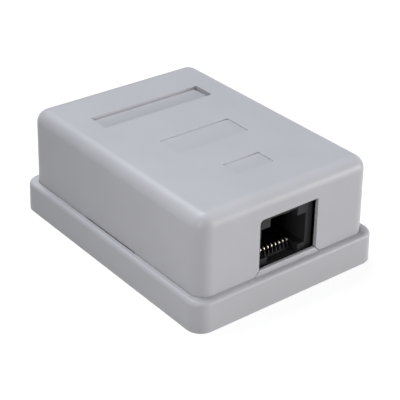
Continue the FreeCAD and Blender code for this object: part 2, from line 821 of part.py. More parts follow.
def make_idc_block(name, sign):
    body = new_body(f"idc_block_{name}")
    middle = f"({sign} * sizes.block_spacing / 2)"
    block_half = half("sizes.block_width")
    block_rear = total(blocks_front, "sizes.block_length")
    block(body, f"block_{name}", (total(middle, minus(block_half)), total(middle, block_half)),
          (blocks_front, block_rear), (board_top, block_top))

    x = blade_x(sign, 0)
    slot_half, mouth_half = half("sizes.wire_slot_width"), half("sizes.wire_slot_mouth")
    slot_bottom = total(block_top, "-sizes.wire_slot_depth")
    flare = total(block_top, "-sizes.wire_slot_flare")
    profile = [
        (total(x, minus(slot_half)), slot_bottom),
        (total(x, slot_half), slot_bottom),
        (total(x, slot_half), flare),
        (total(x, mouth_half), block_top),
        (total(x, minus(mouth_half)), block_top),
        (total(x, minus(slot_half)), flare),
    ]
    slot = prism(body, f"wire_slot_{name}", "XZ_Plane", profile, blocks_front, block_rear, cut=True)
    repeat(body, slot, "X_Axis", "sizes.idc_pitch", BLADES_PER_BLOCK)

    gap = "sizes.blade_clearance"
    pocket_x = total(half("sizes.blade_width"), gap)
    pocket_y = total(half("sizes.blade_thickness"), gap)
    pocket = block(body, f"blade_pocket_{name}", (total(x, minus(pocket_x)), total(x, pocket_x)),
                   (total(blocks_middle, minus(pocket_y)), total(blocks_middle, pocket_y)),
                   (board_top, block_top), cut=True)
    repeat(body, pocket, "X_Axis", "sizes.idc_pitch", BLADES_PER_BLOCK)
    return body


def make_idc_contact(number, sign, index):
    """A flat forked blade that stands across the wire, with one solder tail."""
    body = new_body(f"idc_contact_{number}")
    x = blade_x(sign, index)
    top = total(block_top, "-sizes.blade_drop")
    tail, blade = half("sizes.blade_tail_width"), half("sizes.blade_width")
    slot, mouth = half("sizes.fork_slot"), half("sizes.fork_mouth")
    flare = total(top, "-sizes.fork_flare")
    right_side = [
        (tail, tail_bottom),
        (tail, board_top),
        (blade, total(board_top, "sizes.blade_shoulder")),
        (blade, flare),
        (total(mouth, "sizes.fork_slot"), top),
        (mouth, top),
        (slot, flare),
        (slot, total(top, "-sizes.fork_depth")),
    ]
    profile = [(total(x, across), up) for across, up in right_side]
    profile += [(total(x, minus(across)), up) for across, up in reversed(right_side)]
    thick = half("sizes.blade_thickness")
    prism(body, f"blade_{number}", "XZ_Plane", profile, total(blocks_middle, minus(thick)),
          total(blocks_middle, thick))
    return body


# Board screws: turned pan heads with a cross recess

def make_board_screw(name, sign):
    body = new_body(f"board_screw_{name}")
    centre = (f"({sign} * {screw_x})", screw_y)
    head_top = total(board_top, "sizes.screw_head_height")
    rod(body, f"head_{name}", centre, "sizes.screw_head_radius", board_top, head_top)
    bevel_edges(body, f"head_bevel_{name}", "sizes.screw_head_bevel", level(head_top))
    rod(body, f"shank_{name}", centre, "sizes.screw_radius",
        total(board_top, "-sizes.screw_length"), board_top)
    long_half, wide_half = half("sizes.screw_cross_length"), half("sizes.screw_cross_width")
    for kind, reach_x, reach_y in (("across", long_half, wide_half), ("along", wide_half, long_half)):
        block(body, f"cross_{kind}_{name}",
              (total(centre[0], minus(reach_x)), total(centre[0], reach_x)),
              (total(centre[1], minus(reach_y)), total(centre[1], reach_y)),
              (total(head_top, "-sizes.screw_cross_depth"), head_top), cut=True)
    return body


pieces = [make_base_tray(), make_cover(), make_circuit_board(), make_jack_housing()]
pieces.append(make_jack_contact_insert())
pieces += [make_jack_contact(index) for index in range(CONTACTS)]
pieces += [make_idc_block(name, sign) for name, sign in SIDES.items()]
for side_number, sign in enumerate(SIDES.values()):
    for index in range(BLADES_PER_BLOCK):
        number = side_number * BLADES_PER_BLOCK + index + 1
        pieces.append(make_idc_contact(number, sign, index))
pieces += [make_board_screw(name, sign) for name, sign in SIDES.items()]
doc.recompute()

for item in doc.Objects:
    if "Invalid" in item.State or "Error" in item.State:
        raise RuntimeError(f"{item.Name} failed: {item.State}")
os.makedirs("parts", exist_ok=True)
for piece in pieces:
    if piece.Shape.isNull() or not piece.Shape.isValid() or len(piece.Shape.Solids) != 1:
        raise RuntimeError(f"{piece.Label} is not one valid solid")
    piece.Shape.exportStep(f"parts/{piece.Label}.step")
    print(f"{piece.Label}: {piece.Shape.Volume:.1f} mm3")
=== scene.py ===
import math

import bmesh
import bpy
import numpy as np
from mathutils import Matrix, Vector


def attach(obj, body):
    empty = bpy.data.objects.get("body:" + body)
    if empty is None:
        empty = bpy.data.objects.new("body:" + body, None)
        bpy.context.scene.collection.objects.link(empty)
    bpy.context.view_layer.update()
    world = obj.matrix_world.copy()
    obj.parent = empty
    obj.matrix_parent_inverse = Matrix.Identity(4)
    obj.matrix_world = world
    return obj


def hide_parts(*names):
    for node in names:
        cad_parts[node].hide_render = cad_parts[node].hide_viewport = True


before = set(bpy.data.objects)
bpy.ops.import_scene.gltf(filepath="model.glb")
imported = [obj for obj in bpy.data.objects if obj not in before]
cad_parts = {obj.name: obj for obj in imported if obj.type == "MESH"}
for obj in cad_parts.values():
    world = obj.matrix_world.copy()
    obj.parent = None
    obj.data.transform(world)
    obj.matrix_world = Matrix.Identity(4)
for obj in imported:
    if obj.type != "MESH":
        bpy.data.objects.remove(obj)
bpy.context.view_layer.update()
scene = bpy.context.scene
scene.view_settings.view_transform = "Standard"

white = (1, 1, 1, 1)
black = (0, 0, 0, 1)


def linear(hexColour):
    # sRGB hex to the linear values that the shaders take
    value = np.array([int(hexColour[i:i + 2], 16) for i in (1, 3, 5)]) / 255.0
    value = np.where(value <= 0.04045, value / 12.92, ((value + 0.055) / 1.055) ** 2.4)
    return (*value.tolist(), 1.0)


def addNode(tree, kind, settings=None, inputs=None):
    # one node with its settings; an input is given a value, or a socket to link from
    node = tree.nodes.new(kind)
    for name, value in (settings or {}).items():
        setattr(node, name, value)
    for name, value in (inputs or {}).items():
        if isinstance(value, bpy.types.NodeSocket):
            tree.links.new(value, node.inputs[name])
        else:
            node.inputs[name].default_value = value
    return node


def addObject(name, data):
    added = bpy.data.objects.new(name, data)
    scene.collection.objects.link(added)
    return added


camera = {
    "azimuth": -38.41,  # these three in degrees
    "elevation": 29.72,
    "roll": 0.951,
    "target": (-0.02144, -0.02900, 0.02846),  # metres, as are the distance and clipStart
    "distance": 0.2295,
    "clipStart": 0.005,
    "lens": 110.62,  # millimetres, as is the sensor's width
    "sensor": 36.0,
}


def makeCamera():
    turn, tilt, roll = (math.radians(camera[k]) for k in ("azimuth", "elevation", "roll"))
    back = Vector((math.sin(turn) * math.cos(tilt), -math.cos(turn) * math.cos(tilt), math.sin(tilt)))
    right = Vector((math.cos(turn), math.sin(turn), 0))
    up = back.cross(right)
    across = right * math.cos(roll) + up * math.sin(roll)
    upward = up * math.cos(roll) - right * math.sin(roll)
    data = bpy.data.cameras.new("camera")
    data.lens = camera["lens"]
    data.sensor_width = camera["sensor"]
    data.clip_start = camera["clipStart"]
    eye = addObject("camera", data)
    place = Vector(camera["target"]) + back * camera["distance"]
    axes = Matrix((across, upward, back)).transposed().to_4x4()
    eye.matrix_world = Matrix.Translation(place) @ axes
    scene.camera = eye


makeCamera()
print("camera placed")

studio = {
    "floorSize": 6.0,  # metres
    "floorColour": "#9C9C9C",
    "floorRoughness": 0.9,
    "floorShine": 0.2,
    "floorGlow": 0.8,
    "roomStrength": 0.07,
    "backgroundStrength": 1.0,
    "aim": (0, 0, 0.012),  # metres; every lamp points here
    "lamps": {
        # place and size in metres, watts, colour
        "overhead": ((-0.15, 0.0, 0.9), 0.3, 0.9, "#F4F9FF"),
        "behind": ((0.0, 0.35, 0.75), 0.4, 5.05, "#F4F9FF"),
        "front_low": ((0.25, -0.65, 0.10), 0.25, 0.4, "#FFFFFF"),
        "front_right": ((0.50, -0.45, 0.10), 0.25, 2.93, "#FFFFFF"),
        "left_near": ((-0.12, -0.075, 0.06), 0.05, 0.056, "#FFFFFF"),
    },
}


def makeFloor():
    half = studio["floorSize"] / 2
    mesh = bpy.data.meshes.new("floor")
    corners = [(-half, -half, 0), (half, -half, 0), (half, half, 0), (-half, half, 0)]
    mesh.from_pydata(corners, [], [(0, 1, 2, 3)])
    floor = addObject("floor", mesh)
    # matt studio paper, which glows for the camera and in reflections, so that it looks white
    paper = bpy.data.materials.new("matt_studio_paper")
    paper.use_nodes = True
    tree = paper.node_tree
    shader = tree.nodes["Principled BSDF"]
    shader.inputs["Base Color"].default_value = linear(studio["floorColour"])
    shader.inputs["Roughness"].default_value = studio["floorRoughness"]
    shader.inputs["Specular IOR Level"].default_value = studio["floorShine"]
    shader.inputs["Emission Color"].default_value = white
    rays = addNode(tree, "ShaderNodeLightPath")
    seen = addNode(tree, "ShaderNodeMath", {"operation": "MAXIMUM"},
                   {0: rays.outputs["Is Camera Ray"], 1: rays.outputs["Is Glossy Ray"]})
    glow = addNode(tree, "ShaderNodeMath", {"operation": "MULTIPLY"},
                   {0: seen.outputs[0], 1: studio["floorGlow"]})
    tree.links.new(glow.outputs[0], shader.inputs["Emission Strength"])
    mesh.materials.append(paper)


def makeWorld():
    # the camera sees a white background, and the room itself gives less light than that
    world = bpy.data.worlds.new("pale_room")
    scene.world = world
    world.use_nodes = True
    tree = world.node_tree
    sky = tree.nodes["Background"]
    sky.inputs["Color"].default_value = white
    rays = addNode(tree, "ShaderNodeLightPath")
    strength = addNode(tree, "ShaderNodeMix", {"data_type": "FLOAT"},
                       {"Factor": rays.outputs["Is Camera Ray"],
                        2: studio["roomStrength"], 3: studio["backgroundStrength"]})
    tree.links.new(strength.outputs[0], sky.inputs["Strength"])


def makeLamps():
    for name, (place, size, power, colour) in studio["lamps"].items():
        data = bpy.data.lights.new(name, "AREA")
        data.shape = "SQUARE"
        data.size = size
        data.energy = power
        data.color = linear(colour)[:3]
        away = (Vector(place) - Vector(studio["aim"])).normalized()
        axes = away.to_track_quat("Z", "Y").to_matrix().to_4x4()
        lamp = addObject(name, data)
        lamp.matrix_world = Matrix.Translation(place) @ axes


makeFloor()
makeWorld()
makeLamps()
print("studio lit")


# A solid is an array of rings, and each ring is a closed line of points in millimetres. Rings run
# anticlockwise about the way the solid grows, so that all faces point outwards.

reachPast = 1.0  # how far a cutting solid stands out of what it cuts, in millimetres
sinkIn = 0.5  # how far a joined solid sinks in, and how far a cut reaches into one that it opens into
quarterSteps = 6  # straight stretches in a quarter circle, where nothing else is said


def arcOutline(corners, radii, steps=quarterSteps):
    # Each corner becomes an arc that touches both its sides: its centre lies on the corner's
    # bisector, radius / sin(half angle) away, and it turns evenly from one touch to the other
    corners = np.asarray(corners, float)
    radii = np.broadcast_to(np.asarray(radii, float), len(corners))[:, None]
    before = np.roll(corners, 1, axis=0) - corners
    after = np.roll(corners, -1, axis=0) - corners
    before /= np.linalg.norm(before, axis=1, keepdims=True)
    after /= np.linalg.norm(after, axis=1, keepdims=True)
    halfAngle = 0.5 * np.arccos(np.clip((before * after).sum(1, keepdims=True), -1, 1))
    bisector = before + after
    bisector /= np.maximum(np.linalg.norm(bisector, axis=1, keepdims=True), 1e-9)
    centre = corners + bisector * radii / np.sin(halfAngle)
    start = corners + before * radii / np.tan(halfAngle) - centre
    stop = corners + after * radii / np.tan(halfAngle) - centre
    sweep = np.clip(math.pi - 2 * halfAngle, 1e-3, math.pi - 1e-3)[:, None]
    share = np.linspace(0, 1, steps + 1)[None, :, None]
    arc = np.sin((1 - share) * sweep) * start[:, None] + np.sin(share * sweep) * stop[:, None]
    points = centre[:, None] + arc / np.sin(sweep)
    keep = np.ones((len(corners), steps + 1), bool)
    keep[radii[:, 0] == 0, 1:] = False  # a corner without a radius is one point
    return points[keep]


def rectangle(lowX, highX, lowY, highY):
    return np.array([(lowX, lowY), (highX, lowY), (highX, highY), (lowX, highY)], float)


def prism(outline, low, high, axis="z"):
    # An outline carried straight from low to high along an axis. Its sign of area says which way
    # it runs, and it is turned round where that would make the faces point inwards
    outline = np.asarray(outline, float)
    across, along, up = {"x": (1, 2, 0), "y": (0, 2, 1), "z": (0, 1, 2)}[axis]
    ahead = np.roll(outline, -1, axis=0)
    area = (outline[:, 0] * ahead[:, 1] - ahead[:, 0] * outline[:, 1]).sum()
    if (area < 0) != (axis == "y"):
        outline = outline[::-1]
    rings = np.zeros((2, len(outline), 3))
    rings[:, :, across] = outline[:, 0]
    rings[:, :, along] = outline[:, 1]
    rings[:, :, up] = [[low], [high]]
    return rings


def box(x, y, z):
    return prism(rectangle(*x, *y), *z)


def turned(radius, height, centre=(0, 0), steps=40):
    # A profile of radius and height turned about an upright axis
    angle = np.arange(steps) * 2 * math.pi / steps
    radius, height = np.asarray(radius, float)[:, None], np.asarray(height, float)[:, None]
    return np.stack([centre[0] + radius * np.cos(angle), centre[1] + radius * np.sin(angle),
                     height + 0 * angle], axis=-1)


def roundedRings(halfX, halfY, radius, height, steps=10):
    # One rounded rectangle for each height: its corner centres stand in by the corner's radius,
    # and radius times (cos, sin) of the angle is added round each quarter
    quarter = np.repeat(np.arange(4), steps + 1)
    angle = (quarter + np.tile(np.linspace(0, 1, steps + 1), 4)) * math.pi / 2
    signX = np.where((quarter == 0) | (quarter == 3), 1, -1)
    signY = np.where(quarter < 2, 1, -1)
    halfX, halfY, radius, height = (np.asarray(v, float)[:, None]
                                    for v in (halfX, halfY, radius, height))
    return np.stack([signX * (halfX - radius) + radius * np.cos(angle),
                     signY * (halfY - radius) + radius * np.sin(angle),
                     height + 0 * angle], axis=-1)


def leaningWall(corner, low, high, lean, topRound, steps=8):
    # Up a leaning wall and over a quarter circle that ends level: how far in each ring stands,
    # its corner radius and its height
    angle = np.linspace(lean, math.pi / 2, steps + 1)
    centreZ = high - topRound
    centreIn = (centreZ - low) * math.tan(lean) + topRound / math.cos(lean)
    inward = np.r_[0, centreIn - topRound * np.cos(angle)]
    radius = np.r_[corner, corner - topRound + topRound * np.cos(angle)]
    height = np.r_[low, centreZ + topRound * np.sin(angle)]
    return inward, radius, height


def wire(path, width, thickness, place, corner, steps=3):
    # A flat wire: its section lies square to a path of (y, z) points and is carried along it
    section = arcOutline(rectangle(-width / 2, width / 2, -thickness / 2, thickness / 2),
                         corner, steps)
    path = np.asarray(path, float)
    along = np.gradient(path, axis=0)
    along /= np.linalg.norm(along, axis=1, keepdims=True)
    normal = np.stack([along[:, 1], -along[:, 0]], axis=1)
    flat = path[:, None] + section[None, :, 1:] * normal[:, None]
    across = np.broadcast_to(place + section[None, :, 0], flat.shape[:2])
    return np.concatenate([across[:, :, None], flat], axis=2)


def ringFaces(rows, columns):
    # four-sided faces between neighbouring rings, and one face over each end
    ring = np.arange(columns)
    ahead = np.roll(ring, -1)
    start = np.arange(rows - 1)[:, None] * columns
    sides = np.stack([start + ring, start + ahead, start + columns + ahead,
                      start + columns + ring], axis=-1)
    return [*sides.reshape(-1, 4).tolist(), ring[::-1].tolist(),
            (ring + (rows - 1) * columns).tolist()]


def makeSolid(name, rings):
    # millimetres become metres here
    mesh = bpy.data.meshes.new(name)
    mesh.from_pydata((rings.reshape(-1, 3) / 1000).tolist(), [], ringFaces(*rings.shape[:2]))
    return addObject(name, mesh)


def applyModifiers(piece):
    bpy.context.view_layer.update()
    graph = bpy.context.evaluated_depsgraph_get()
    mesh = bpy.data.meshes.new_from_object(piece.evaluated_get(graph))
    piece.modifiers.clear()
    old, piece.data = piece.data, mesh
    bpy.data.meshes.remove(old)


def change(piece, operation, solids):
    # one solid after another is joined to a piece, or cut out of it
    for rings in solids:
        tool = makeSolid("tool", rings)
        boolean = piece.modifiers.new("change", "BOOLEAN")
        boolean.operation = operation
        boolean.solver = "EXACT"
        boolean.object = tool
        applyModifiers(piece)
        mesh = tool.data
        bpy.data.objects.remove(tool)
        bpy.data.meshes.remove(mesh)


def join(piece, *solids):
    change(piece, "UNION", solids)


def cut(piece, *solids):
    change(piece, "DIFFERENCE", solids)


finish = {
    "mergeDistance": 2e-6,  # metres
    "flatAngle": 0.5,  # degrees; faces that meet flatter than this become one
    "bevelAngle": 38,  # degrees; edges that turn more than this are broken
    "bevelSegments": 2,
}


def finishPiece(piece, body, nodes, material, edge=0.0):
    # Tidies the mesh, breaks its sharp edges with a small round, and lets its large faces rule
    # the shading. The edge is the most that a round may be, because the bevel's clamp narrows all
    # of a piece's rounds together until its closest edges fit
    shape = bmesh.new()
    shape.from_mesh(piece.data)
    bmesh.ops.remove_doubles(shape, verts=shape.verts, dist=finish["mergeDistance"])
    bmesh.ops.dissolve_degenerate(shape, edges=shape.edges, dist=finish["mergeDistance"])
    shape.to_mesh(piece.data)
    shape.free()
    piece.data.shade_smooth()
    if edge:
        bevel = piece.modifiers.new("broken_edges", "BEVEL")
        bevel.width = edge / 1000
        bevel.segments = finish["bevelSegments"]
        bevel.limit_method = "ANGLE"
        bevel.angle_limit = math.radians(finish["bevelAngle"])
        bevel.use_clamp_overlap = True
    shading = piece.modifiers.new("flat_faces_lead", "WEIGHTED_NORMAL")
    shading.mode = "FACE_AREA"
    piece.data.materials.clear()
    piece.data.materials.append(material)
    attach(piece, body)
    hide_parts(*nodes)


def copyNode(node, name):
    # a node's own shape, with its loose triangles merged and its flat faces made whole
    shape = bmesh.new()
    shape.from_mesh(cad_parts[node].data)
    bmesh.ops.remove_doubles(shape, verts=shape.verts, dist=finish["mergeDistance"])
    bmesh.ops.dissolve_limit(shape, angle_limit=math.radians(finish["flatAngle"]),
                             verts=shape.verts, edges=shape.edges)
    mesh = bpy.data.meshes.new(name)
    shape.to_mesh(mesh)
    shape.free()
    return addObject(name, mesh)


plasticSkin = {
    "ior": 1.54,
    "cloudScale": 90.0,  # clouds to the metre, so each is about 11 mm across
    "cloudDetail": 3.0,
    "cloudLow": 0.3,  # the noise from which a cloud starts, and that at which it is full
    "cloudHigh": 0.7,
    "cloudTone": 0.02,  # how far the clouds move the colour either way
    "grainDetail": 2.0,
    "sheenSpread": 0.06,  # how far the grain moves the roughness either way
    "bumpStrength": 0.3,
}


def mouldedPlastic(name, colour, roughness, grain, grainDepth, shine=0.5, paintedShade=False):
    # A moulded skin: a grain, whose width and depth are in millimetres, breaks up the highlights,
    # and the colour hardly varies. The real grain is finer, and is drawn coarse enough to show.
    # Where asked, an attribute of the piece's own darkens the colour of its recess floors: this is
    # painted shade
    material = bpy.data.materials.new(name)
    material.use_nodes = True
    tree = material.node_tree
    shader = tree.nodes["Principled BSDF"]
    shader.inputs["IOR"].default_value = plasticSkin["ior"]
    shader.inputs["Specular IOR Level"].default_value = shine
    place = addNode(tree, "ShaderNodeTexCoord")
    cloud = addNode(tree, "ShaderNodeTexNoise", None,
                    {"Vector": place.outputs["Object"], "Scale": plasticSkin["cloudScale"],
                     "Detail": plasticSkin["cloudDetail"]})
    tone = addNode(tree, "ShaderNodeMapRange", None,
                   {"Value": cloud.outputs["Fac"], "From Min": plasticSkin["cloudLow"],
                    "From Max": plasticSkin["cloudHigh"]})
    base = np.array(linear(colour)[:3])
    mix = addNode(tree, "ShaderNodeMix", {"data_type": "RGBA"},
                  {"Factor": tone.outputs[0],
                   6: (*(base * (1 - plasticSkin["cloudTone"])), 1),
                   7: (*(base * (1 + plasticSkin["cloudTone"])), 1)})
    skinColour = mix.outputs[2]
    if paintedShade:
        # painted shade: this attribute darkens the colour of the recess floors
        insert = addNode(tree, "ShaderNodeAttribute", {"attribute_name": "paintedRecessShade"})
        darker = addNode(tree, "ShaderNodeMix", {"data_type": "RGBA", "blend_type": "MULTIPLY"},
                         {"Factor": insert.outputs["Fac"], 6: skinColour, 7: black})
        skinColour = darker.outputs[2]
    tree.links.new(skinColour, shader.inputs["Base Color"])
    skin = addNode(tree, "ShaderNodeTexNoise", None,
                   {"Vector": place.outputs["Object"], "Scale": 1000.0 / grain,
                    "Detail": plasticSkin["grainDetail"]})
    sheen = addNode(tree, "ShaderNodeMapRange", None,
                    {"Value": skin.outputs["Fac"],
                     "To Min": roughness - plasticSkin["sheenSpread"],
                     "To Max": roughness + plasticSkin["sheenSpread"]})
    tree.links.new(sheen.outputs[0], shader.inputs["Roughness"])
    bump = addNode(tree, "ShaderNodeBump", None,
                   {"Height": skin.outputs["Fac"], "Strength": plasticSkin["bumpStrength"],
                    "Distance": grainDepth / 1000})
    tree.links.new(bump.outputs[0], shader.inputs["Normal"])
    return material


metalSkin = {
    "grain": 0.2,  # millimetres; the tool's real marks are finer, and these are coarse enough to show
    "grainDetail": 2.0,
    "sheenSpread": 0.08,  # how far the grain moves the roughness either way
    "plateFade": 0.0004,  # metres over which plating gives way to bare metal
}


def platedMetal(name, colour, roughness, bareMetalAndShadeColour=None, plateEnd=0.0):
    # Stamped or drawn metal under plating: bright, with a shine that small marks break up. Plating
    # may end at a place along y, in metres, and the bare metal behind it is darker: partly its own
    # duller tone, partly painted shade
    material = bpy.data.materials.new(name)
    material.use_nodes = True
    tree = material.node_tree
    shader = tree.nodes["Principled BSDF"]
    shader.inputs["Base Color"].default_value = linear(colour)
    shader.inputs["Metallic"].default_value = 1.0
    place = addNode(tree, "ShaderNodeTexCoord")
    marks = addNode(tree, "ShaderNodeTexNoise", None,
                    {"Vector": place.outputs["Object"], "Scale": 1000.0 / metalSkin["grain"],
                     "Detail": metalSkin["grainDetail"]})
    sheen = addNode(tree, "ShaderNodeMapRange", None,
                    {"Value": marks.outputs["Fac"],
                     "To Min": roughness - metalSkin["sheenSpread"],
                     "To Max": roughness + metalSkin["sheenSpread"]})
    tree.links.new(sheen.outputs[0], shader.inputs["Roughness"])
    # painted shade: the bare metal's dark colour also stands in for the shade deep in the jack
    if bareMetalAndShadeColour:
        axes = addNode(tree, "ShaderNodeSeparateXYZ", None, {"Vector": place.outputs["Object"]})
        behind = addNode(tree, "ShaderNodeMapRange", None,
                         {"Value": axes.outputs["Y"], "From Min": plateEnd,
                          "From Max": plateEnd + metalSkin["plateFade"]})
        mix = addNode(tree, "ShaderNodeMix", {"data_type": "RGBA"},
                      {"Factor": behind.outputs[0], 6: linear(colour), 7: linear(bareMetalAndShadeColour)})
        tree.links.new(mix.outputs[2], shader.inputs["Base Color"])
    return material


# ABS from a spark-eroded mould: a satin, cool pale grey
# the cover's recess floors carry painted shade
coverAbs = mouldedPlastic("cover_moulded_abs", "#C6C5C9", 0.45, 0.35, 0.01, paintedShade=True)
trayAbs = mouldedPlastic("tray_moulded_abs", "#C5C4C8", 0.45, 0.35, 0.01)
# PBT, moulded: near black, with a weak and broad sheen
blackPbt = mouldedPlastic("jack_moulded_pbt", "#2E2E30", 0.5, 0.25, 0.008, shine=0.2)
# polycarbonate from a smoother mould: ivory, and a little glossier than the box
ivoryPolycarbonate = mouldedPlastic("block_moulded_polycarbonate", "#D9D7CC", 0.35, 0.3, 0.006)
# solder resist printed over glass laminate: smooth and deep green, with an even gloss
boardResist = mouldedPlastic("board_solder_resist", "#1F5A33", 0.3, 0.6, 0.006)
# drawn bronze wire whose front bends are plated pale gold; the bare wire behind them is dark, partly
# its own duller tone and partly painted shade deep in the jack
goldPlate = platedMetal("contact_gold_plated_bronze", "#D2CCC0", 0.4, "#3A342C", -0.0263)
# stamped bronze under tin: a soft grey shine
tinPlate = platedMetal("blade_tinned_bronze", "#CFCDC8", 0.38)
# headed steel under bright zinc: a cooler and sharper shine
zincPlate = platedMetal("screw_zinc_plated_steel", "#C9CCD0", 0.32)
print("materials made")


# Sizes and places of the pieces are in millimetres from here on, and angles in degrees.

trayShape = {
    "halfX": 24.3, "halfY": 32.5, "height": 7.0, "corner": 3.5, "lean": 1.0, "rimRound": 0.95,
    "floor": 2.0, "innerX": 22.61, "innerY": 30.91, "innerCorner": 3.3, "innerLean": 0.05,
    "catchHalf": 9.1, "pocketDepth": 0.5, "pocketTop": 5.8,
    "sillFoot": 8.6, "sillFront": -30.85, "sillThick": 0.8, "sillTop": 8.15, "sillRound": 0.4,
    "portMiddle": 0.2,
    "bossX": 13.0, "bossY": -19.55, "bossRadius": 2.6, "bossTop": 4.6,
    "filletWide": 0.25, "filletNarrow": 0.05, "filletHeight": 0.35,
    "pilotRadius": 1.15, "pilotBottom": 0.8,
    "postX": 15.4, "postY": -0.4, "postWidth": 5.0, "postRound": 0.5,
    "pegRadius": 1.2, "pegTop": 6.9, "pegTaper": 0.3, "pegTaperHeight": 0.35,
    "ribHalf": 10.0, "ribFront": -24.65, "ribThick": 1.2,
    "slotX": 13.0, "slotY": 14.0, "slotReach": 1.9, "slotRadius": 2.1,
    "bridgeHalf": 2.5, "bridgeFront": 18.35, "bridgeRear": 24.85, "bridgeTop": 5.3,
    "bridgeRound": 0.8, "bridgeBar": 1.4, "bridgeFoot": 1.1, "tunnelRound": 0.5,
    "holeRadius": 3.1, "holeAxis": 8.0, "holeReach": 5.0, "holeSteps": 48,
    "brokenEdge": 0.04,  # the clamp leaves 0.004 of it
}


def obround(x, y, reach, radius, steps=16):
    # two half circles joined by straight sides
    angle = np.linspace(-math.pi / 2, math.pi / 2, steps + 1)
    half = np.stack([reach + radius * np.cos(angle), radius * np.sin(angle)], axis=1)
    return np.concatenate([half, -half]) + (x, y)


def trayShell(size):
    # up the outside, over the rim, and down the inside, which widens towards the floor
    inward, radius, height = leaningWall(size["corner"], 0, size["height"],
                                         math.radians(size["lean"]), size["rimRound"])
    halfX = np.r_[size["halfX"] - inward, size["innerX"] - size["innerLean"], size["innerX"]]
    halfY = np.r_[size["halfY"] - inward, size["innerY"] - size["innerLean"], size["innerY"]]
    radius = np.r_[radius, size["innerCorner"], size["innerCorner"]]
    height = np.r_[height, size["height"], size["floor"]]
    return roundedRings(halfX, halfY, radius, height)


def portSill(size, under):
    # Each side leans in by as much as it rises above the rim, and the front edge is a quarter
    # circle
    angle = np.linspace(0, math.pi / 2, quarterSteps + 1)
    level = np.r_[under, size["height"],
                  size["sillTop"] - size["sillRound"] * (1 - np.sin(angle))]
    half = size["sillFoot"] - np.maximum(level - size["height"], 0)
    left, right = size["portMiddle"] - half, size["portMiddle"] + half
    front = size["sillFront"] + np.r_[0, 0, size["sillRound"] * (1 - np.cos(angle))]
    rear = size["sillFront"] + size["sillThick"] + 0 * front
    corners = np.array([(left, front, level), (right, front, level),
                        (right, rear, level), (left, rear, level)])
    return corners.transpose(2, 0, 1)


def addBoardSeats(tray, size, side, under):
    # a screw boss with a filleted foot and a pilot hole, and a square post with a peg on it
    boss = (side * size["bossX"], size["bossY"])
    postX, postY, halfPost = side * size["postX"], size["postY"], size["postWidth"] / 2
    post = arcOutline(rectangle(postX - halfPost, postX + halfPost, postY - halfPost,
                                postY + halfPost), size["postRound"])
    join(tray, turned([size["bossRadius"] + size["filletWide"],
                       size["bossRadius"] + size["filletNarrow"], size["bossRadius"]],
                      [under, size["floor"] + size["filletHeight"], size["bossTop"]], boss),
         prism(post, under, size["bossTop"]),
         turned([size["pegRadius"], size["pegRadius"], size["pegRadius"] - size["pegTaper"]],
                [under, size["pegTop"] - size["pegTaperHeight"], size["pegTop"]],
                (postX, postY)))
    cut(tray, turned([size["pilotRadius"], size["pilotRadius"]],
                     [size["pilotBottom"], size["bossTop"] + reachPast], boss))


def addTieBridge(tray, size, under):
    # a block with a tunnel through it, which leaves a bar to tie the cable to
    front, rear, top = size["bridgeFront"], size["bridgeRear"], size["bridgeTop"]
    bridge = arcOutline(rectangle(front, rear, under, top),
                        [0, 0, size["bridgeRound"], size["bridgeRound"]])
    join(tray, prism(bridge, -size["bridgeHalf"], size["bridgeHalf"], "x"))
    tunnel = arcOutline(rectangle(front + size["bridgeFoot"], rear - size["bridgeFoot"],
                                  size["floor"], top - size["bridgeBar"]),
                        [0, 0, size["tunnelRound"], size["tunnelRound"]])
    reach = size["bridgeHalf"] + reachPast
    cut(tray, prism(tunnel, -reach, reach, "x"))


def makeBaseTray():
    size = trayShape
    under = size["floor"] - sinkIn
    tray = makeSolid("tray", trayShell(size))
    join(tray, portSill(size, under))
    for side in (-1, 1):
        addBoardSeats(tray, size, side, under)
        pocket = sorted((side * (size["innerX"] - reachPast),
                         side * (size["innerX"] + size["pocketDepth"])))
        cut(tray, box(pocket, (-size["catchHalf"], size["catchHalf"]),
                      (size["floor"], size["pocketTop"])))
        slot = obround(side * size["slotX"], size["slotY"], size["slotReach"],
                       size["slotRadius"])
        cut(tray, prism(slot, -reachPast, size["floor"] + reachPast))
    join(tray, box((-size["ribHalf"], size["ribHalf"]),
                   (size["ribFront"], size["ribFront"] + size["ribThick"]),
                   (under, size["bossTop"])))
    addTieBridge(tray, size, under)
    # the part of the cable hole that lies in the tray; the cover has the rest
    angle = np.arange(size["holeSteps"]) * 2 * math.pi / size["holeSteps"]
    hole = np.stack([size["holeRadius"] * np.cos(angle),
                     size["holeAxis"] + size["holeRadius"] * np.sin(angle)], axis=1)
    cut(tray, prism(hole, size["halfY"] - size["holeReach"], size["halfY"] + reachPast, "y"))
    finishPiece(tray, "base", ["base_tray"], trayAbs, size["brokenEdge"])


makeBaseTray()
print("base tray made")


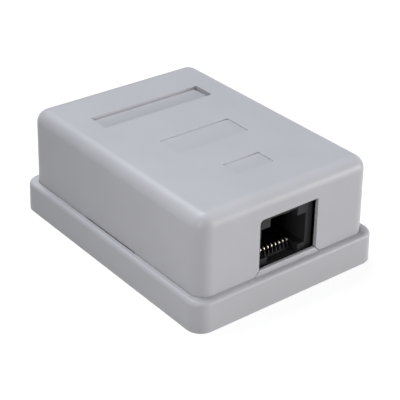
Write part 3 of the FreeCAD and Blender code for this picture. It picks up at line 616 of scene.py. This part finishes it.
coverShape = {
    "footX": 22.55, "footY": 30.85, "foot": 2.0, "top": 24.75, "corner": 3.3, "topRound": 3.0,
    "lean": 0.75, "wall": 2.0, "hollowRound": 0.5,
    "notchHalf": 7.7, "notchTop": 19.7, "notchRound": 0.9, "notchFoot": 8.8, "flareBottom": 7.0,
    "flareTop": 8.1, "portMiddle": 0.2, "holeRadius": 3.1, "holeAxis": 8.0, "holeSteps": 24,
    "portWall": 1.0, "pocketHalf": 9.05, "pocketTop": 20.7, "pocketRear": -27.55,
    "beadHalf": 8.1, "beadBottom": 3.8, "beadTop": 5.6, "beadLand": 0.5, "beadReach": 0.4,
    "slitHalf": 9.1, "slitBottom": 5.8, "slitTop": 7.15, "slitWalls": 1.5,
    "recesses": {
        # low and high x, low and high y, depth, and how much painted shade darkens its floor
        "label": (-14.5, 14.5, 12.7, 18.55, 0.65, 0.125),
        "labelPrySlot": (13.7, 14.5, 12.7, 18.55, 1.05, 0.125),
        "plate": (-8.85, 9.55, -6.1, 1.0, 0.28, 0.03),
        "smallPlate": (-4.725, 4.725, -20.0, -15.1, 0.28, 0.03),
    },
    "levelTolerance": 0.01,  # how far from a recess floor the centre of one of its faces may lie
    "brokenEdge": 0.12,  # the clamp leaves 0.012 of it
}


def coverShell(size):
    # From the roof of the hollow down its wall to the foot, then up the outside to the top. Each of
    # the two is a leaning wall, and the inner one stands in by the wall's thickness
    lean = math.radians(size["lean"])
    outer = leaningWall(size["corner"], size["foot"], size["top"], lean, size["topRound"],
                        steps=10)
    inner = leaningWall(size["corner"] - size["wall"], size["foot"], size["top"] - size["wall"],
                        lean, size["hollowRound"], steps=4)
    inward = np.r_[inner[0][::-1] + size["wall"], outer[0]]
    radius = np.r_[inner[1][::-1], outer[1]]
    height = np.r_[inner[2][::-1], outer[2]]
    return roundedRings(size["footX"] - inward, size["footY"] - inward, radius, height, steps=12)


def addCatch(cover, size, side):
    # a bead that hooks under the tray's lip, and the slit above it that lets the wall bend. The
    # slit reaches slitWalls wall thicknesses in, so it passes right through
    face = side * size["footX"]
    root = side * (size["footX"] - size["wall"] / 2)
    tip = side * (size["footX"] + size["beadReach"])
    bead = [(root, size["beadBottom"]), (face, size["beadBottom"]),
            (tip, size["beadTop"] - size["beadLand"]), (tip, size["beadTop"]),
            (root, size["beadTop"])]
    join(cover, prism(bead, -size["beadHalf"], size["beadHalf"], "y"))
    slit = sorted((face + side * reachPast, face - side * size["slitWalls"] * size["wall"]))
    cut(cover, box(slit, (-size["slitHalf"], size["slitHalf"]),
                   (size["slitBottom"], size["slitTop"])))


def cutPort(cover, size, below):
    # the notch flares towards its foot and has one round corner, at its top left, and a pocket
    # behind it leaves a thinner wall
    half, foot = size["notchHalf"], size["notchFoot"]
    notch = arcOutline([(-foot, below), (foot, below), (foot, size["flareBottom"]),
                        (half, size["flareTop"]), (half, size["notchTop"]),
                        (-half, size["notchTop"]), (-half, size["flareTop"]),
                        (-foot, size["flareBottom"])],
                       [0, 0, 0, 0, 0, size["notchRound"], 0, 0], steps=8)
    front = -size["footY"]
    cut(cover, prism(notch + (size["portMiddle"], 0), front - reachPast,
                     front + 2 * size["wall"], "y"),
        box((-size["pocketHalf"], size["pocketHalf"]),
            (front + size["portWall"], size["pocketRear"]), (below, size["pocketTop"])))


def cutCableHole(cover, size, below):
    # a half circle with straight sides down to the foot
    radius = size["holeRadius"]
    angle = np.linspace(0, math.pi, size["holeSteps"] + 1)
    arch = np.stack([radius * np.cos(angle), size["holeAxis"] + radius * np.sin(angle)], axis=1)
    arch = np.concatenate([arch, [(-radius, below), (radius, below)]])
    cut(cover, prism(arch, size["footY"] - 2 * size["wall"], size["footY"] + reachPast, "y"))


def shadeRecessFloors(cover, size):
    # Paints shade into the colour of the recess floors. A face belongs to a recess floor when its
    # centre lies inside the recess and on its level
    centre = np.empty(3 * len(cover.data.polygons))
    cover.data.polygons.foreach_get("center", centre)
    x, y, z = centre.reshape(-1, 3).T * 1000
    shade = np.zeros(len(x), np.float32)
    for lowX, highX, lowY, highY, depth, amount in size["recesses"].values():
        onLevel = abs(z - (size["top"] - depth)) < size["levelTolerance"]
        shade[onLevel & (x > lowX) & (x < highX) & (y > lowY) & (y < highY)] = amount
    cover.data.attributes.new("paintedRecessShade", "FLOAT", "FACE").data.foreach_set("value", shade)


def makeCover():
    size = coverShape
    below = size["foot"] - reachPast
    cover = makeSolid("cover_shell", coverShell(size))
    for side in (-1, 1):
        addCatch(cover, size, side)
    cutPort(cover, size, below)
    cutCableHole(cover, size, below)
    for lowX, highX, lowY, highY, depth, _ in size["recesses"].values():
        cut(cover, box((lowX, highX), (lowY, highY), (size["top"] - depth, size["top"] + reachPast)))
    finishPiece(cover, "cover", ["cover"], coverAbs, size["brokenEdge"])
    shadeRecessFloors(cover, size)


makeCover()
print("cover made")


jackShape = {
    "face": -29.25, "half": 7.75, "rear": -11.25,
    "bottom": 6.2, "top": 19.4, "topEdge": 0.3,
    "cavityHalf": 5.95, "cavityBottom": 9.4, "cavityTop": 16.35, "lipRear": -27.6,
    "lipSlotHalf": 4.1, "lipSlotBottom": 7.9, "latchTop": 18.2, "latchHalf": 3.6,
    "latchRear": -27.25, "channelHalf": 1.7, "channelRear": -21.85,
    "pegX": 6.85, "pegY": -22.05, "pegWidth": 1.4, "pegBottom": 3.8,
    "brokenEdge": 0.1, "insertEdge": 0.05,  # the clamp leaves 0.022 of the insert's
}


def makeJackHousing():
    size = jackShape
    outline = arcOutline(rectangle(-size["half"], size["half"], size["bottom"], size["top"]),
                         [0, 0, size["topEdge"], size["topEdge"]], steps=3)
    jack = makeSolid("jack_shell", prism(outline, size["face"], size["rear"], "y"))
    ahead, behind = size["face"] - reachPast, size["rear"] + reachPast
    intoCavity = size["cavityBottom"] + sinkIn
    cavity = (-size["cavityHalf"], size["cavityHalf"])
    latch = (size["cavityTop"] - sinkIn, size["latchTop"])
    # the plug's cavity, its open floor behind the lip, the lip's slot, and the wide and the narrow
    # step for the plug's latch
    cut(jack, box(cavity, (ahead, behind), (size["cavityBottom"], size["cavityTop"])),
        box(cavity, (size["lipRear"], behind), (size["bottom"] - reachPast, intoCavity)),
        box((-size["lipSlotHalf"], size["lipSlotHalf"]), (ahead, size["lipRear"] + sinkIn),
            (size["lipSlotBottom"], intoCavity)),
        box((-size["latchHalf"], size["latchHalf"]), (ahead, size["latchRear"]), latch),
        box((-size["channelHalf"], size["channelHalf"]), (ahead, size["channelRear"]), latch))
    for side in (-1, 1):
        x, half = side * size["pegX"], size["pegWidth"] / 2
        join(jack, box((x - half, x + half), (size["pegY"] - half, size["pegY"] + half),
                       (size["pegBottom"], size["bottom"] + sinkIn)))
    finishPiece(jack, "base", ["jack_housing"], blackPbt, size["brokenEdge"])
    insert = copyNode("jack_contact_insert", "jack_insert")
    finishPiece(insert, "base", ["jack_contact_insert"], blackPbt,
                size["insertEdge"])


makeJackHousing()
print("jack made")


contactShape = {
    "count": 8, "pitch": 1.016, "width": 0.36, "thickness": 0.35, "edge": 0.1,
    "tailRow": -15.55, "tailRowStep": 2.54, "tailBottom": 3.6, "tailBend": 0.45, "run": 8.575,
    "nose": -26.425, "noseTop": 9.52, "tip": (-14.85, 13.31), "bend": 0.48,
}


def makeJackContacts():
    # Up from the board, forward under the cavity, and up and back through it. The tails stand in
    # two rows
    size = contactShape
    for index in range(size["count"]):
        tail = size["tailRow"] + (0 if index % 2 else size["tailRowStep"])
        path = arcOutline([(tail, size["tailBottom"]), (tail, size["run"]),
                           (size["nose"], size["run"]), (size["nose"], size["noseTop"]),
                           size["tip"]],
                          [0, size["tailBend"], size["bend"], size["bend"], 0])
        x = (index - (size["count"] - 1) / 2) * size["pitch"]
        contact = makeSolid(f"spring_contact_{index + 1}",
                            wire(path, size["width"], size["thickness"], x, size["edge"]))
        finishPiece(contact, "base", [f"jack_contact_{index + 1}"], goldPlate)


makeJackContacts()
print("jack contacts made")


# the clamp leaves 0.118 of the right block's edge, and the whole of the others
wiringShape = {"blades": 8, "blockEdge": 0.15, "bladeEdge": 0.05}


def makeWiringBlocks():
    # the CAD's own blocks and blades, with their edges broken
    size = wiringShape
    for side in ("left", "right"):
        block = copyNode(f"idc_block_{side}", f"wiring_block_{side}")
        finishPiece(block, "base", [f"idc_block_{side}"], ivoryPolycarbonate,
                    size["blockEdge"])
    for index in range(1, size["blades"] + 1):
        blade = copyNode(f"idc_contact_{index}", f"wiring_blade_{index}")
        finishPiece(blade, "base", [f"idc_contact_{index}"], tinPlate,
                    size["bladeEdge"])


makeWiringBlocks()
print("wiring blocks made")


screwShape = {
    "x": 13.0, "y": -19.55, "tip": 1.6, "tipLength": 0.5, "tipTaper": 0.35, "shank": 1.1,
    "seat": 6.2, "head": 2.0, "rim": 0.75, "rimEdge": 0.08, "domeRound": 0.9, "top": 7.5,
    "crossHalf": 1.1, "crossWidth": 0.6, "crossDepth": 0.7,
    "brokenEdge": 0.06,  # the clamp leaves 0.04 of it
}


def makeBoardScrews():
    # the head is a disc whose upper edge is a quarter of an ellipse, with a cross cut into its top
    size = screwShape
    angle = np.linspace(0, math.pi / 2, quarterSteps + 1)[1:]
    head, seat, rimTop = size["head"], size["seat"], size["seat"] + size["rim"]
    dome = size["top"] - seat - size["rim"]
    radius = np.r_[size["shank"] - size["tipTaper"], size["shank"], size["shank"],
                   head - size["rimEdge"], head, head,
                   head - size["domeRound"] + size["domeRound"] * np.cos(angle)]
    height = np.r_[size["tip"], size["tip"] + size["tipLength"], seat, seat,
                   seat + size["rimEdge"], rimTop, rimTop + dome * np.sin(angle)]
    cross = (size["top"] - size["crossDepth"], size["top"] + reachPast)
    halfLong, halfWide = size["crossHalf"], size["crossWidth"] / 2
    for name, side in (("left", -1), ("right", 1)):
        x, y = side * size["x"], size["y"]
        screw = makeSolid(f"pan_head_screw_{name}", turned(radius, height, (x, y)))
        for halfX, halfY in ((halfLong, halfWide), (halfWide, halfLong)):
            cut(screw, box((x - halfX, x + halfX), (y - halfY, y + halfY), cross))
        finishPiece(screw, "base", [f"board_screw_{name}"], zincPlate,
                    size["brokenEdge"])


makeBoardScrews()
print("board screws made")


boardShape = {"brokenEdge": 0.05}  # the clamp leaves 0.025 of it


def makeBoard():
    board = copyNode("circuit_board", "wired_board")
    finishPiece(board, "base", ["circuit_board"], boardResist,
                boardShape["brokenEdge"])


makeBoard()
print("board made")
